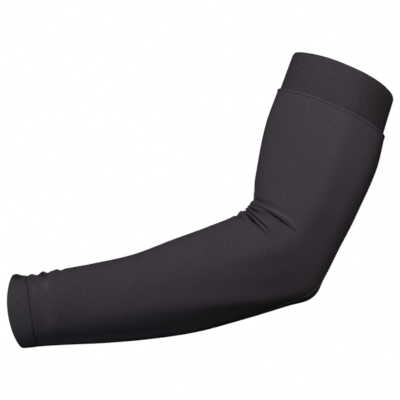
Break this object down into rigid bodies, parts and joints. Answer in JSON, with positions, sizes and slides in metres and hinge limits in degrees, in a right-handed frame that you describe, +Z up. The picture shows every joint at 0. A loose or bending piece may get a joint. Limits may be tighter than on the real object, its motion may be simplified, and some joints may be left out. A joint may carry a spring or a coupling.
{
  "type": "arm warmer",
  "caption": "Stretch cloth sleeve in the shape of a bent arm, creased at the crook, with a knitted elastic band round the upper arm and a stitched hem at the wrist.",
  "frame": {"origin": "middle of the elbow, inside the sleeve", "axes": "+X from the wrist towards the elbow, +Z up towards the shoulder, -Y towards the near side of the arm"},
  "size_m": [0.3518, 0.0922, 0.2708],
  "materials": {
    "stretch_cloth": "charcoal stretch jersey, matt with a soft sheen",
    "rib_knit": "charcoal elastic knit with fine ribs, matt",
    "hem_cloth": "charcoal stretch jersey, doubled and stitched, matt"
  },
  "bodies": {
    "root": {"sleeve": "stretch_cloth", "biceps_band": "rib_knit", "wrist_hem": "hem_cloth"}
  },
  "joints": []
}
